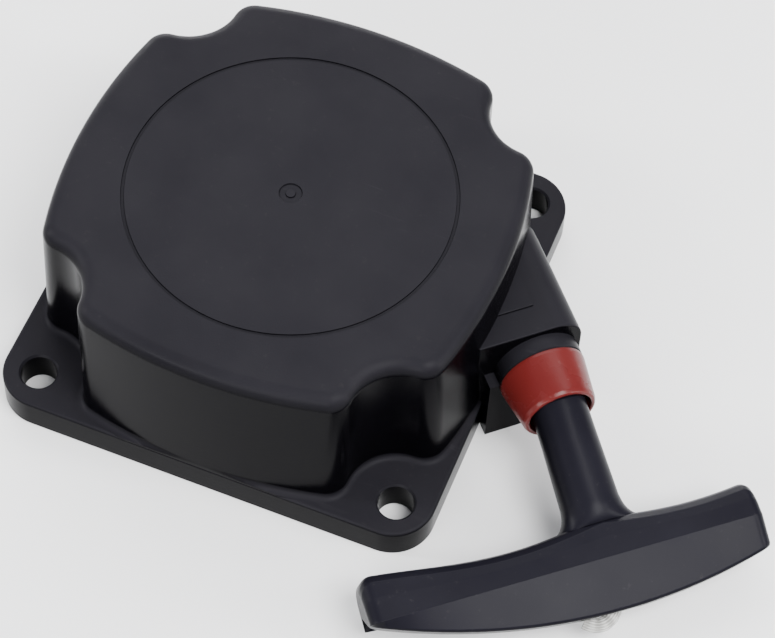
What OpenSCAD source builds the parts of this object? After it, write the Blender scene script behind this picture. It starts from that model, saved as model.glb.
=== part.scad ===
// Recoil starter for a small two-stroke engine.
//
// Millimetres. The origin is the centre of the four mounting holes, on the
// face that bolts to the engine. +Z points out of the closed end of the
// housing, +X to the side that the rope leaves from.

/* [Mounting flange] */
// Distance between neighbouring mounting holes, centre to centre
hole_pitch = 74; // [70:0.5:90]
// Diameter of a mounting hole
hole_d = 7; // [5:0.1:8]
// Distance from a mounting hole's centre to the flange's edge
flange_margin = 7.4; // [7:0.1:10]
// Thickness of the flange
flange_t = 7.4; // [4:0.2:9]
// Radius of the flange's corners
flange_corner_r = 8.5; // [5:0.5:12]

/* [Cover] */
// Height of the housing from the mounting face to its top
cover_h = 39.4; // [38:0.2:50]
// How far the middle of a bulged side stands out past the mounting holes
side_bulge = 6.1; // [5:0.1:7.2]
// Radius of the bulge of a side
side_r = 95; // [85:1:120]
// Radius of the hollow that clears each mounting screw
scallop_r = 10; // [8:0.2:10.5]
// Radius of the corner beside each hollow
lobe_r = 4.5; // [3.5:0.1:5.5]
// Radius of the rounded top edge
top_edge_r = 3; // [1:0.25:4]
// Thickness of the side wall
wall = 2.6; // [1.8:0.1:3]
// Thickness of the top
top_t = 2.8; // [2:0.1:4]

/* [Centre post] */
// Diameter of the post that the reel turns on
post_d = 11; // [9:0.2:13.4]
// Height of the lower end of the post above the mounting face
post_end_z = 5; // [4.6:0.1:6]
// Diameter of the thread of the centre screw
screw_d = 4.8; // [4:0.1:5]
// Length of the centre screw under its head
screw_len = 18; // [12:0.5:22]

/* [Reel] */
// Gap between the reel and the nearest part of the side wall
reel_gap = 2.2; // [1.5:0.1:4]
// Thickness of each cheek of the reel
cheek_t = 2.2; // [1.6:0.1:2.6]
// Radius of the drum that the rope winds on
drum_r = 15.7; // [15:0.1:17]
// Wall thickness of the bush in the reel
bush_wall = 1.4; // [1:0.1:1.6]

/* [Rope and outlet] */
// Diameter of the rope
rope_d = 3.4; // [3:0.1:4.1]
// Gap between one turn of rope and the next
rope_gap = 0.25; // [0.1:0.05:0.5]
// Height of the rope above the mounting face
rope_z = 17.4; // [17:0.1:19]
// Direction in which the rope leaves, about the vertical
outlet_angle = -48; // [-55:1:-42]
// How far the outlet's front face stands out past the side, along its axis
outlet_stand = 16.5; // [14:0.1:22]
// Largest radius of the rope collar
collar_r = 8.5; // [7.5:0.1:10.2]
// Length of the part of the collar that shows
collar_len = 9.6; // [6:0.2:12]

/* [Handle] */
// Direction of the handle's stem at rest, about the vertical
handle_angle = -50; // [-52:0.5:-46]
// How far the handle hangs down from level at rest
handle_droop = 18; // [0:0.5:18.5]
// Length of the grip on its long side, from the stem
grip_long = 47; // [38:0.5:50]
// Length of the grip on its short side, from the stem
grip_short = 30; // [28:0.5:50]
// Height of the grip at its parting line
grip_h = 12; // [11.5:0.1:12.6]
// Distance from the collar's mouth to the outer face of the grip
grip_front = 38.2; // [36:0.1:40]
// Distance from the collar's mouth to the inner face of the grip
grip_back = 21; // [20:0.1:24]

/* [Spring] */
// Width of the spring strip
strip_w = 9; // [7:0.5:10]
// Thickness of the spring strip
strip_t = 0.6; // [0.4:0.05:0.8]
// Turns of the spring
spring_turns = 11; // [7:1:12]

/* [Pawls] */
// Distance of a pawl's pin from the centre
pawl_pin_r = 20; // [19:0.5:21]
// Diameter of a pawl pin
pawl_pin_d = 4; // [3:0.1:4.8]
// Length of a pawl from its pin to its tip
pawl_len = 15; // [13:0.5:16]
// Thickness of a pawl
pawl_t = 4.4; // [3:0.1:4.6]
// Thickness of the guide plate
plate_t = 1.2; // [0.8:0.1:1.4]

/* [Hidden] */

$fn = 96;
eps = 0.01;

// Clearances
run_fit = 0.06;      // a shaft that turns in a hole, on the radius
free_gap = 0.3;      // faces of parts that move past each other
loose_gap = 0.5;     // a part that only has to pass

// Housing
hole_at = hole_pitch / 2;
flange_w = hole_pitch + 2 * flange_margin;
cover_reach = hole_at + side_bulge;
cavity_top = cover_h - top_t;
post_r = post_d / 2;
side_at = side_r - cover_reach;
// nearest point of the side wall: at a hollow or at the middle of a side
inner_r = min(hole_at * sqrt(2) - scallop_r, cover_reach - 0.7) - wall;
top_line_r = 31.5;
top_line_w = 0.5;
top_line_depth = 0.3;
gate_r = 2.4;

// Spring chamber, hung from the top of the housing
reel_r = inner_r - reel_gap;
chamber_r = reel_r - 7.1;
chamber_wall = 2.2;
spring_cover_t = 0.8;
spring_top_z = cavity_top - 0.8;
spring_bot_z = spring_top_z - strip_w;
spring_cover_z = spring_bot_z - free_gap - spring_cover_t;
chamber_end_z = spring_cover_z + spring_cover_t;
cover_screw_at = chamber_r + chamber_wall + 2.3;
cover_screw_r = 1.4;
cover_screw_head_r = 2.4;
cover_screw_boss_r = 2.9;
cover_screw_angles = [90, 210, 330];

// Reel, measured up from the rope
groove_w = rope_d + 2 * loose_gap;
groove_bot = rope_z - groove_w / 2;
groove_top = rope_z + groove_w / 2;
reel_bot = groove_bot - cheek_t;
reel_top = groove_top + cheek_t;
bush_r = post_r + run_fit + bush_wall;
hub_r = bush_r + 2.4;
pin_boss_z = reel_bot - 1;
hub_bot = 9.4;
rim_top = spring_cover_z - 1.1;
arbor_r = bush_r + 1.3;
arbor_top = spring_top_z - 0.4;
rim_r = reel_r - 6;
rim_wall = 2;

// Guide plate, washer and screw, measured up from the end of the post
plate_bot = post_end_z + free_gap;
plate_top = plate_bot + plate_t;
washer_t = 1.4;
washer_r = 9.5;
screw_head_h = 2.8;
screw_head_r = 5.2;
screw_r = screw_d / 2;

// Pawls, each measured in the frame of the reel
pawl_bot = plate_top + loose_gap;
pawl_top = pawl_bot + pawl_t;
pawl_swing = 30;
pawl_rest = -115;
plate_turn = 22;
pawl_pin_rad = pawl_pin_d / 2;
pawl_eye_r = pawl_pin_rad + 2.3;
peg_at = 6;
peg_r = 1.5;
slot_r = peg_r + 0.75;

// Rope
rope_r = rope_d / 2;
rope_pitch = rope_d + rope_gap;
wound_r = reel_r - 1.2 - rope_r;
// half turns of rope that the groove takes
rope_turns = floor(2 * (wound_r - drum_r - rope_r - loose_gap) / rope_pitch) / 2;
first_r = wound_r - rope_turns * rope_pitch;
coil_steps = 16;

// Outlet, along and across its axis
outlet_offset = wound_r + 1.7;
out_x = cos(outlet_angle);
out_y = sin(outlet_angle);
outlet_reach = (cover_reach + outlet_offset * out_y) / out_x + outlet_stand;
mouth_s = outlet_reach + collar_len;
mouth = [mouth_s * out_x - outlet_offset * out_y, mouth_s * out_y + outlet_offset * out_x];
ledge_s = outlet_reach - 3.2;
spigot_r = collar_r - 2.9;
spigot_len = 10;
throat_r = rope_r + 0.9;
mouth_r = collar_r - 2.2;
block_side = collar_r + 0.7;
block_top = collar_r + 1.3;
block_in = collar_r + 3.5;
block_start = (cover_reach + (outlet_offset + block_side) * out_y) / out_x - 2.2;
shoulder_r = 6;
rope_bend_s = outlet_reach - spigot_len + 2;
// where the rope leaves the wound coil on its way to the bend
leave_a = atan2(outlet_offset, rope_bend_s)
        + acos(wound_r / norm([rope_bend_s, outlet_offset]));

// Handle
stem_tip_r = mouth_r - 1;
stem_root_r = 5.8;
stem_in = 2.4;
stem_bore_r = rope_r + 0.4;
knot_r = rope_r + 1.3;
pocket_r = knot_r + 0.5;
pocket_depth = 8.5;
pocket_shift = 5;
handle_washer_t = 1;
grip_part_h = grip_h / 2;
grip_back_h = grip_part_h - 0.3;
grip_front_h = grip_part_h - 1.1;
grip_end_r = 2.6;
grip_wave = 1.7;
// the grip's long side passes clear of the nearest corner of the flange
corner_at = flange_w / 2 - flange_corner_r;
corner_ahead = (corner_at - mouth.x) * cos(handle_angle)
             + (-corner_at - mouth.y) * sin(handle_angle) + flange_corner_r;
low_edge_back = grip_back_h * sin(handle_droop);
stem_needed = (corner_ahead + 1 + grip_wave + low_edge_back) / cos(handle_droop);
stem_more = max(0, stem_needed - grip_back);
back_x = grip_back + stem_more;
front_x = grip_front + stem_more;
part_x = back_x + 7.9;
// a longer stem hangs its grip no lower, and the seat in the collar clears the stem's tip
droop = asin(sin(handle_droop) * grip_front / front_x);
seat_depth = stem_in * cos(droop) + stem_tip_r * sin(droop) + 0.7;
rope_stop = stem_in / cos(droop) + rope_r * tan(droop) + 0.35;

// ---- outlines -------------------------------------------------------------

function arc(c, r, a0, a1, n) =
    [for (i = [0:n]) let (a = a0 + (a1 - a0) * i / n) c + r * [cos(a), sin(a)]];

function turned(p, a) = [p.x * cos(a) - p.y * sin(a), p.x * sin(a) + p.y * cos(a)];

// Centre of the rounded lobe between the bulge of the +X side and the hollow
// round the screw: it touches both arcs.
lobe_side = side_r - lobe_r;
lobe_hollow = scallop_r + lobe_r;
side_to_hole = norm([side_at + hole_at, hole_at]);
lobe_along = (pow(lobe_side, 2) - pow(lobe_hollow, 2) + pow(side_to_hole, 2))
           / (2 * side_to_hole);
lobe_across = sqrt(pow(lobe_side, 2) - pow(lobe_along, 2));
hole_dir = [side_at + hole_at, hole_at] / side_to_hole;
lobe_c = [-side_at, 0] + lobe_along * hole_dir
       + lobe_across * [hole_dir.y, -hole_dir.x];
side_end = atan2(lobe_c.y, lobe_c.x + side_at);
hollow_end = atan2(hole_at - lobe_c.y, hole_at - lobe_c.x);

// One quarter of the cover's outline, drawn "inset" inside the outer surface
function cover_quarter(inset) = concat(
    arc([-side_at, 0], side_r - inset, -side_end, side_end, 10),
    arc(lobe_c, lobe_r - inset, side_end + 8, hollow_end - 8, 4),
    arc([hole_at, hole_at], scallop_r + inset, 180 + hollow_end, 270 - hollow_end, 8),
    arc([lobe_c.y, lobe_c.x], lobe_r - inset, 98 - hollow_end, 82 - side_end, 4));

module cover_outline(inset = 0)
    polygon([for (k = [0:3]) for (p = cover_quarter(inset)) turned(p, 90 * k)]);

module flange_outline() {
    r = flange_corner_r;
    c = flange_w / 2 - r;
    for (x = [-c, c]) for (y = [-c, c]) translate([x, y]) circle(r);
    square([flange_w, 2 * c], center = true);
    square([2 * c, flange_w], center = true);
}

// Frame of the outlet: X along the rope, Y away from the centre of the reel
module in_outlet()
    rotate([0, 0, outlet_angle]) translate([0, outlet_offset, rope_z]) children();

// Frame of the handle: X along its stem from the collar's mouth, Y along the grip
module in_handle()
    translate([mouth.x, mouth.y, rope_z]) rotate([0, 0, handle_angle])
        rotate([0, droop, 0]) children();

module along_x(from, to, r, r2 = undef)
    translate([from, 0, 0]) rotate([0, 90, 0])
        cylinder(h = to - from, r1 = r, r2 = is_undef(r2) ? r : r2);

module tube(z0, z1, r_out, r_in)
    translate([0, 0, z0]) difference() {
        cylinder(h = z1 - z0, r = r_out);
        translate([0, 0, -1]) cylinder(h = z1 - z0 + 2, r = r_in);
    }

// ---- housing --------------------------------------------------------------

module cover_shell() {
    steps = 4;
    linear_extrude(cover_h - top_edge_r) cover_outline();
    for (i = [1:steps]) {
        rise = top_edge_r * i / steps;
        back = top_edge_r - sqrt(pow(top_edge_r, 2) - pow(rise - top_edge_r / steps, 2));
        linear_extrude(cover_h - top_edge_r + rise) cover_outline(back);
    }
}

// The block that carries the rope collar
module outlet_block() in_outlet() {
    length = ledge_s - block_start;
    translate([block_start, -block_in, -rope_z])
        cube([length, block_side + block_in, rope_z + block_top - shoulder_r]);
    translate([block_start, -block_in, -rope_z])
        cube([length, block_side - shoulder_r + block_in, rope_z + block_top]);
    translate([0, block_side - shoulder_r, block_top - shoulder_r])
        along_x(block_start, ledge_s, shoulder_r);
    along_x(block_start, outlet_reach, collar_r);
    translate([block_start, -collar_r - 2, -rope_z])
        cube([outlet_reach - block_start, 2 * collar_r + 2, rope_z]);
}

module chamber_ring()
    tube(chamber_end_z, cavity_top + eps, chamber_r + chamber_wall, chamber_r);

module housing() color("#2b2b2f") difference() {
    union() {
        difference() {
            union() {
                linear_extrude(flange_t) flange_outline();
                cover_shell();
                outlet_block();
            }
            translate([0, 0, -1]) linear_extrude(cavity_top + 1) cover_outline(wall);
        }
        translate([0, 0, post_end_z]) cylinder(h = cover_h - post_end_z - 1, r = post_r);
        chamber_ring();
        for (a = cover_screw_angles) rotate([0, 0, a])
            translate([cover_screw_at, 0, chamber_end_z])
                cylinder(h = cavity_top - chamber_end_z + eps, r = cover_screw_boss_r);
        // webs that tie the ring of the spring chamber to the side wall
        for (a = [0:45:315]) rotate([0, 0, a])
            translate([chamber_r + 1, -0.8, chamber_end_z + 2])
                cube([inner_r - chamber_r, 1.6, cavity_top - chamber_end_z - 2 + eps]);
    }
    for (x = [-hole_at, hole_at]) for (y = [-hole_at, hole_at])
        translate([x, y, -1]) cylinder(h = flange_t + 2, r = hole_d / 2);
    translate([0, 0, post_end_z - 1]) cylinder(h = screw_len + 2, r = screw_r);
    for (a = cover_screw_angles) rotate([0, 0, a])
        translate([cover_screw_at, 0, chamber_end_z - 1]) cylinder(h = 8.5, r = cover_screw_r);
    // slot that holds the outer hook of the spring
    rotate([0, 0, 60]) translate([chamber_r - 1, -1.2, spring_bot_z])
        cube([chamber_wall + 0.4, 2.4, strip_w + 0.8]);
    in_outlet() {
        along_x(outlet_reach - spigot_len, outlet_reach + 1, spigot_r);
        along_x(block_start + 1.5, outlet_reach - spigot_len + 1, throat_r + 0.6);
    }
    // fine line and moulding gate on the top
    translate([0, 0, cover_h - top_line_depth]) difference() {
        cylinder(h = 1, r = top_line_r + top_line_w / 2);
        translate([0, 0, -1]) cylinder(h = 3, r = top_line_r - top_line_w / 2);
    }
    translate([0, 0, cover_h - top_line_depth]) difference() {
        cylinder(h = 1, r = gate_r);
        translate([0, 0, -1]) cylinder(h = 3, r = gate_r / 3);
    }
}

// ---- spring ---------------------------------------------------------------

spring_in_r = arbor_r + 0.8;
spring_out_r = chamber_r - 0.4 - strip_t;
spring_pitch = (spring_out_r - spring_in_r) / spring_turns;
spring_step = 15;
spring_start = 60 - 360 * spring_turns;

function spring_at(a, off) =
    let (r = spring_in_r + spring_pitch * (a - spring_start) / 360 + off)
    r * [cos(a), sin(a)];

module recoil_spring() color("#8a8f96") translate([0, 0, spring_bot_z]) {
    linear_extrude(strip_w) polygon(concat(
        [for (a = [spring_start:spring_step:60]) spring_at(a, 0)],
        [for (a = [60:-spring_step:spring_start]) spring_at(a, strip_t)]));
    // outer hook, bent into the slot of the chamber's wall
    rotate([0, 0, 60]) translate([spring_out_r, -0.9, 0]) cube([2.6, strip_t + 0.3, strip_w]);
    // inner hook, bent into the slot of the reel's arbor
    rotate([0, 0, spring_start]) translate([spring_in_r - 1.6, -0.1, 0])
        cube([1.8, strip_t, strip_w]);
}

module spring_cover() color("#b9bcc0") difference() {
    union() {
        translate([0, 0, spring_cover_z])
            cylinder(h = spring_cover_t, r = chamber_r + chamber_wall - 0.4);
        for (a = cover_screw_angles) rotate([0, 0, a])
            translate([cover_screw_at, 0, spring_cover_z])
                cylinder(h = spring_cover_t, r = cover_screw_boss_r);
    }
    translate([0, 0, spring_cover_z - 1]) cylinder(h = spring_cover_t + 2, r = arbor_r + 1);
    for (a = cover_screw_angles) rotate([0, 0, a])
        translate([cover_screw_at, 0, spring_cover_z - 1])
            cylinder(h = spring_cover_t + 2, r = cover_screw_r + 0.15);
}

module spring_cover_screws() color("#9da1a6")
    for (a = cover_screw_angles) rotate([0, 0, a])
        translate([cover_screw_at, 0, 0]) difference() {
            union() {
                translate([0, 0, spring_cover_z]) cylinder(h = 7, r = cover_screw_r);
                translate([0, 0, spring_cover_z - 1.3])
                    cylinder(h = 1.3, r1 = cover_screw_head_r - 0.5, r2 = cover_screw_head_r);
            }
            for (q = [0, 90]) rotate([0, 0, q])
                translate([-1.4, -0.3, spring_cover_z - 2]) cube([2.8, 0.6, 1.4]);
        }

// ---- reel -----------------------------------------------------------------

knot_pocket_r = 3.1;
anchor_r = drum_r - knot_pocket_r;
coil_end_a = outlet_angle + leave_a + 360 * rope_turns;
coil_end = first_r * [cos(coil_end_a), sin(coil_end_a)];
anchor = anchor_r * [cos(coil_end_a + 45), sin(coil_end_a + 45)];
anchor_dir = anchor - coil_end;

module anchor_bore(from, to, r)
    translate([coil_end.x, coil_end.y, rope_z])
        rotate([0, 0, atan2(anchor_dir.y, anchor_dir.x)]) along_x(from, to, r);

module reel() color("#e8e4d6") difference() {
    union() {
        translate([0, 0, reel_bot]) cylinder(h = cheek_t, r = reel_r);
        translate([0, 0, groove_top]) cylinder(h = cheek_t, r = reel_r);
        translate([0, 0, reel_bot]) cylinder(h = reel_top - reel_bot, r = drum_r);
        translate([0, 0, hub_bot]) cylinder(h = rim_top - hub_bot, r = hub_r);
        translate([0, 0, rim_top - eps]) cylinder(h = arbor_top - rim_top, r = arbor_r);
        tube(reel_top - eps, rim_top, rim_r, rim_r - rim_wall);
        for (a = [0:45:315]) rotate([0, 0, a])
            translate([hub_r - 0.5, -0.8, reel_top - eps])
                cube([rim_r - hub_r, 1.6, rim_top - reel_top]);
        for (a = [0, 180]) rotate([0, 0, a])
            translate([pawl_pin_r, 0, pin_boss_z]) cylinder(h = 1.2, r = pawl_eye_r);
    }
    translate([0, 0, hub_bot - 1]) cylinder(h = arbor_top - hub_bot + 2, r = bush_r);
    for (a = [0, 180]) rotate([0, 0, a])
        translate([pawl_pin_r, 0, pin_boss_z - 1]) cylinder(h = cheek_t + 1.8, r = pawl_pin_rad);
    // windows through both cheeks
    for (a = [45:90:315]) rotate([0, 0, a])
        translate([reel_r - 10.5, 0, reel_bot - 1]) cylinder(h = rim_top, r = 4.2);
    // slot of the arbor that takes the spring's inner hook
    rotate([0, 0, spring_start]) translate([bush_r + 0.4, -1, spring_bot_z - 0.4])
        cube([3, 2.2, strip_w + 2]);
    // pocket of the rope's anchor knot and the hole out to the groove
    translate([anchor.x, anchor.y, reel_bot - 1])
        cylinder(h = rope_z - reel_bot + 3.5, r = knot_pocket_r);
    anchor_bore(0, norm(anchor_dir), rope_r + 0.2);
}

module reel_bush() color("#b08d4f") tube(hub_bot, arbor_top, bush_r, post_r + run_fit);

// ---- rope -----------------------------------------------------------------

function coil_point(i) =
    let (a = outlet_angle + leave_a + 360 * i / coil_steps,
         r = wound_r - rope_pitch * i / coil_steps)
    [r * cos(a), r * sin(a), rope_z, a];

module rope_coil() color("#d8d8d2") {
    sides = 8;
    rings = coil_steps * rope_turns;
    points = [for (i = [0:rings]) let (c = coil_point(i)) for (j = [0:sides - 1])
        let (b = 360 * j / sides + 22.5)
        [c.x + rope_r * cos(b) * cos(c[3]), c.y + rope_r * cos(b) * sin(c[3]),
         c.z + rope_r * sin(b)]];
    walls = [for (i = [0:rings - 1]) for (j = [0:sides - 1])
        let (k = (j + 1) % sides)
        [i * sides + j, i * sides + k, (i + 1) * sides + k, (i + 1) * sides + j]];
    polyhedron(points, concat(walls,
        [[for (j = [sides - 1:-1:0]) j]],
        [[for (j = [0:sides - 1]) rings * sides + j]]), 4);
}

module reel_knot() color("#d8d8d2") {
    anchor_bore(rope_r + 0.3, norm(anchor_dir) - 1, rope_r);
    translate([anchor.x, anchor.y, rope_z - 0.6])
        rotate([0, 0, atan2(anchor_dir.y, anchor_dir.x)])
            sphere(r = knot_pocket_r - 0.2, $fn = 48);
}

// From the rim of the reel, through the collar, to the handle's stem
module outlet_rope() color("#d8d8d2") in_outlet() {
    touch = wound_r * [cos(leave_a), sin(leave_a)] - [0, outlet_offset];
    lead = [rope_bend_s, 0] - touch;
    clear = reel_r + rope_r + 0.4;
    skip = sqrt(pow(clear, 2) - pow(wound_r, 2));
    translate([touch.x, touch.y, 0]) rotate([0, 0, atan2(lead.y, lead.x)])
        along_x(skip, norm(lead), rope_r);
    translate([rope_bend_s, 0, 0]) sphere(r = rope_r + 0.06, $fn = 48);
    along_x(rope_bend_s, mouth_s - rope_stop, rope_r);
}

module rope_collar() color("#96231e") in_outlet() difference() {
    union() {
        along_x(outlet_reach - spigot_len, outlet_reach + 0.2, spigot_r);
        along_x(outlet_reach, mouth_s - 0.8, collar_r, collar_r - 1.5);
        along_x(mouth_s - 0.8 - eps, mouth_s, collar_r - 1.5, collar_r - 2.1);
    }
    along_x(outlet_reach - spigot_len - 1, mouth_s, throat_r);
    along_x(outlet_reach - spigot_len - eps, outlet_reach - spigot_len + 2, throat_r + 1.6, throat_r);
    along_x(mouth_s - seat_depth, mouth_s + eps, mouth_r - 0.3, mouth_r);
}

// ---- handle ---------------------------------------------------------------

// The two long edges of the grip, seen along its height
function grip_inner(u) = back_x + grip_wave * sin(5 * abs(u));
function grip_outer(u) = front_x - u * u / 228;
grip_step = 5;

module grip_outline() {
    first = grip_end_r - grip_long;
    last = grip_short - grip_end_r;
    inner_us = concat([for (u = [first:grip_step:last - 1]) u], [last]);
    outer_us = concat([for (u = [-grip_long:grip_step:grip_short - 1]) u], [grip_short]);
    outer = [for (u = outer_us) [grip_outer(u), u]];
    n = len(outer);
    polygon(concat(
        arc([grip_inner(first) + grip_end_r, first], grip_end_r, 270, 195, 4),
        [for (u = inner_us) [grip_inner(u), u]],
        arc([grip_inner(last) + grip_end_r, last], grip_end_r, 165, 90, 4),
        [for (i = [n - 1:-1:0]) outer[i]]));
}

// Section of the grip: highest at the parting line, lower at the outer face
module grip_section()
    polygon([[back_x - 3, grip_back_h], [part_x, grip_part_h],
             [front_x + 1, grip_front_h], [front_x + 1, -grip_front_h],
             [part_x, -grip_part_h], [back_x - 3, -grip_back_h]]);

module grip_body() intersection() {
    translate([0, 0, -grip_h]) linear_extrude(2 * grip_h) grip_outline();
    translate([0, grip_short + 1, 0]) rotate([90, 0, 0])
        linear_extrude(grip_long + grip_short + 2) grip_section();
}

module handle() color("#26262b") in_handle() difference() {
    union() {
        along_x(-stem_in, back_x + 2, stem_tip_r, stem_root_r);
        grip_body();
        // webs where the stem runs out into the grip
        translate([0, 0, -3]) linear_extrude(6)
            polygon([[back_x - 2.6, -4.6], [back_x - 2.6, 4.6],
                     [back_x + 1.5, 8], [back_x + 1.5, -8]]);
    }
    along_x(-stem_in - 1, front_x + 1, stem_bore_r);
    knot_pocket();
}

// Recess in the outer face for the washer, the knot and the rope's short end
module knot_pocket() {
    along_x(front_x - pocket_depth, front_x + 1, pocket_r);
    translate([0, -pocket_shift, 0])
        along_x(front_x - pocket_depth + 3, front_x + 1, pocket_r);
    translate([front_x - pocket_depth + 3, -pocket_shift, -pocket_r])
        cube([pocket_depth, pocket_shift, 2 * pocket_r]);
}

module handle_washer() color("#aab0b5") in_handle() difference() {
    along_x(front_x - pocket_depth, front_x - pocket_depth + handle_washer_t,
            pocket_r - 0.1);
    along_x(front_x - pocket_depth - 1, front_x - pocket_depth + 2, stem_bore_r);
}

module handle_rope() color("#e6e6e2") in_handle()
    along_x(-stem_in + 0.4, front_x - pocket_depth + handle_washer_t + 0.5, rope_r);

// The knot that the washer stops, and the rope's short end turned aside
module handle_knot() color("#eceae6") in_handle() {
    at = front_x - pocket_depth + handle_washer_t + knot_r;
    tail = [at + 3.4, -pocket_shift + 1.2, -0.5];
    difference() {
        union() {
            translate([at, 0, 0]) sphere(r = knot_r, $fn = 48);
            translate(tail) sphere(r = knot_r - 0.7, $fn = 48);
            translate(tail) rotate([0, 0, -48]) along_x(0, 4.6, rope_r);
        }
        along_x(at - knot_r - 1, at - knot_r + 0.5, rope_r);
    }
}

// ---- pawls and guide plate --------------------------------------------------

module pawl_arm() {
    // drawn with the pin at the origin and the arm along +X
    difference() {
        union() {
            cylinder(h = pawl_t, r = pawl_eye_r);
            linear_extrude(pawl_t) polygon([
                [0, -pawl_eye_r], [pawl_len * 0.72, -3.4], [pawl_len, -2.6], [pawl_len, 2.4],
                [pawl_len - 2, 3.4], [pawl_len * 0.45, 3.2], [0, pawl_eye_r]]);
        }
        translate([0, 0, -1]) cylinder(h = pawl_t + 2, r = pawl_pin_rad + run_fit);
    }
    translate([peg_at, 0, plate_bot - pawl_bot]) cylinder(h = pawl_bot - plate_bot + 1, r = peg_r);
}

module pawl(side) color("#7d8288") rotate([0, 0, side])
    translate([pawl_pin_r, 0, pawl_bot]) rotate([0, 0, pawl_rest]) pawl_arm();
module pawl_1() pawl(0);
module pawl_2() pawl(180);

module pawl_pin(side) color("#9fa4a9") rotate([0, 0, side])
    translate([pawl_pin_r, 0, pawl_bot + 0.1])
        cylinder(h = pin_boss_z + cheek_t + 0.8 - pawl_bot - 0.1, r = pawl_pin_rad);
module pawl_pin_1() pawl_pin(0);
module pawl_pin_2() pawl_pin(180);

// Where the peg of a pawl sits when the pawl has swung by "a"
function peg_place(a) =
    [pawl_pin_r + peg_at * cos(pawl_rest + a), peg_at * sin(pawl_rest + a)];
slot_in = peg_place(0);
slot_out = turned(peg_place(pawl_swing), -plate_turn);
slot_dir = slot_out - slot_in;

slot_turn = atan2(slot_dir.y, slot_dir.x);

module plate_slot(r, h)
    linear_extrude(h) polygon(concat(
        arc(slot_in, r, slot_turn + 90, slot_turn + 270, 12),
        arc(slot_out, r, slot_turn - 90, slot_turn + 90, 12)));

module guide_plate() color("#a7abb0") translate([0, 0, plate_bot]) difference() {
    union() {
        cylinder(h = plate_t, r = 14.5);
        for (a = [0, 180]) rotate([0, 0, a]) plate_slot(slot_r + 1.6, plate_t);
    }
    translate([0, 0, -1]) {
        cylinder(h = plate_t + 2, r = post_r + run_fit);
        for (a = [0, 180]) rotate([0, 0, a]) plate_slot(slot_r, plate_t + 2);
    }
}

// Coil that presses the guide plate against its washer
module friction_spring() color("#c3c6c9") {
    wire_r = 0.5;
    coil_r = post_r + 2.2;
    turns = 2;
    sides = 8;
    per_turn = 24;
    low = plate_top + free_gap + wire_r;
    rise = hub_bot - wire_r - low;
    rings = turns * per_turn;
    points = [for (i = [0:rings]) for (j = [0:sides - 1])
        let (a = 360 * i / per_turn, b = 360 * j / sides, r = coil_r + wire_r * cos(b))
        [r * cos(a), r * sin(a), low + rise * i / rings + wire_r * sin(b)]];
    walls = [for (i = [0:rings - 1]) for (j = [0:sides - 1])
        let (k = (j + 1) % sides)
        [i * sides + j, (i + 1) * sides + j, (i + 1) * sides + k, i * sides + k]];
    polyhedron(points, concat(walls,
        [[for (j = [0:sides - 1]) j]],
        [[for (j = [sides - 1:-1:0]) rings * sides + j]]), 4);
}

module thrust_washer() color("#b4b8bc")
    tube(post_end_z - washer_t, post_end_z, washer_r, screw_r + 0.2);

module centre_screw() color("#9ba0a5") difference() {
    head_z = post_end_z - washer_t;
    union() {
        translate([0, 0, head_z - screw_head_h]) cylinder(h = screw_head_h, r = screw_head_r);
        translate([0, 0, head_z - eps]) cylinder(h = screw_len, r = screw_r);
    }
    translate([0, 0, head_z - screw_head_h - 1])
        for (q = [0, 90]) rotate([0, 0, q]) translate([-3, -0.6, 0]) cube([6, 1.2, 2.6]);
}

housing();
reel();
reel_bush();
recoil_spring();
spring_cover();
spring_cover_screws();
rope_collar();
rope_coil();
reel_knot();
outlet_rope();
handle();
handle_washer();
handle_rope();
handle_knot();
pawl_1();
pawl_2();
pawl_pin_1();
pawl_pin_2();
guide_plate();
friction_spring();
thrust_washer();
centre_screw();
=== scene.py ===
import math

import bmesh
import bpy
from mathutils import Matrix, Vector


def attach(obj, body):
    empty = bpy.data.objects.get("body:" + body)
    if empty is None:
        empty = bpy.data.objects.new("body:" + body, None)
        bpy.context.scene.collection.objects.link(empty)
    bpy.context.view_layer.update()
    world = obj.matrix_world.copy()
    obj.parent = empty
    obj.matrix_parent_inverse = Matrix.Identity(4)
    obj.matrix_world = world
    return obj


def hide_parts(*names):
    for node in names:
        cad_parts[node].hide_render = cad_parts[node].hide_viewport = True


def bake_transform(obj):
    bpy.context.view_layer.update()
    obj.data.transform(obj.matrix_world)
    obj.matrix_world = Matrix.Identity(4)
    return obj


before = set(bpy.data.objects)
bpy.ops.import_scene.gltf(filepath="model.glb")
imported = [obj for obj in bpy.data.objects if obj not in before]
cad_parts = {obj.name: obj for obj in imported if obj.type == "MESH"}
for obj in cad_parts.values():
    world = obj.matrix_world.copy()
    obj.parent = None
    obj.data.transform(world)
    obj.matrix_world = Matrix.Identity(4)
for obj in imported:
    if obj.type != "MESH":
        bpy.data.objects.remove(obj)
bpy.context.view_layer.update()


# ---- Table, lamps and camera --------------------------------------------------
# The starter stands by its mounting face on a pale matt table. Large soft lamps
# light it from above and behind, and narrow strips all round draw its edges.
table_white = (0.93, 0.93, 0.935, 1)
table_reach = 3.0
room_white = (0.93, 0.95, 1.0, 1)
room_strength = 0.56
lamp_aim = Vector((0.02, -0.02, 0.02))
look_azimuth = 18.83
look_height = 57.9
look_roll = 3.33
look_distance = 0.5479
look_at = Vector((0.02054, 0.00013, 0.0074))
look_lens = 130.0
film_width = 36.0
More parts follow.
